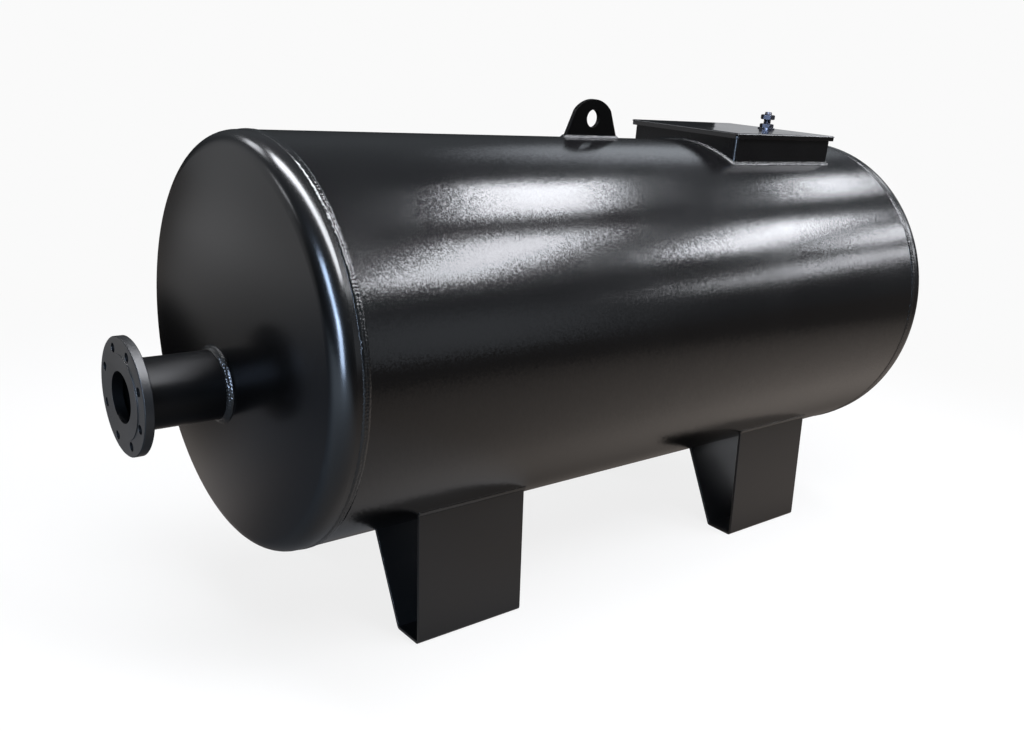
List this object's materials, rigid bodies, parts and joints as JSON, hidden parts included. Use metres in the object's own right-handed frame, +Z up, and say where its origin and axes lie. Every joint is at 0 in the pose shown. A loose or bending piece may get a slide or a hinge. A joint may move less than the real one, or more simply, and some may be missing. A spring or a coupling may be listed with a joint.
{
  "type": "horizontal condensate tank",
  "caption": "Horizontal cylindrical steel condensate tank with dished heads, flanged end nozzle, lifting lug, bolted rectangular hatch and folded legs.",
  "frame": {"origin": "on the floor, under the middle of the overall length and on the tank's centre plane", "axes": "+X along the tank from the nozzle toward the hatch end, +Z up, -Y toward the side in the picture"},
  "size_m": [2.032, 0.8048, 1.071],
  "materials": {
    "paint_shell": "black gloss enamel on rolled plate, faint orange peel",
    "paint_heads": "black satin enamel on pressed heads",
    "paint_legs": "flat black enamel on folded plate",
    "paint_nozzle": "thin black paint over machined steel",
    "paint_welds": "black gloss enamel over rippled weld",
    "paint_hatch": "black gloss enamel on folded sheet",
    "paint_lug": "black gloss enamel on flame-cut plate",
    "gasket_rubber": "matt black rubber strip",
    "zinc_fixings": "dull zinc plating"
  },
  "bodies": {
    "root": {"far_back_leg": "paint_legs", "far_back_leg_welds": "paint_welds", "far_front_leg": "paint_legs", "far_front_leg_welds": "paint_welds", "far_girth_weld": "paint_welds", "far_head": "paint_heads", "hatch_corner_welds": "paint_welds", "hatch_crossbar": "paint_hatch", "hatch_gasket": "gasket_rubber", "hatch_lid": "paint_hatch", "hatch_shell_weld": "paint_welds", "hatch_wall_back": "paint_hatch", "hatch_wall_far": "paint_hatch", "hatch_wall_front": "paint_hatch", "hatch_wall_near": "paint_hatch", "lid_locknut": "zinc_fixings", "lid_nut": "zinc_fixings", "lid_stud": "zinc_fixings", "lid_washer": "zinc_fixings", "lifting_lug": "paint_lug", "lug_weld": "paint_welds", "near_back_leg": "paint_legs", "near_back_leg_welds": "paint_welds", "near_front_leg": "paint_legs", "near_front_leg_welds": "paint_welds", "near_girth_weld": "paint_welds", "near_head": "paint_heads", "nozzle_flange": "paint_nozzle", "nozzle_flange_weld": "paint_welds", "nozzle_head_weld": "paint_welds", "nozzle_pipe": "paint_nozzle", "shell": "paint_shell", "shell_seam_weld": "paint_welds"}
  },
  "joints": []
}
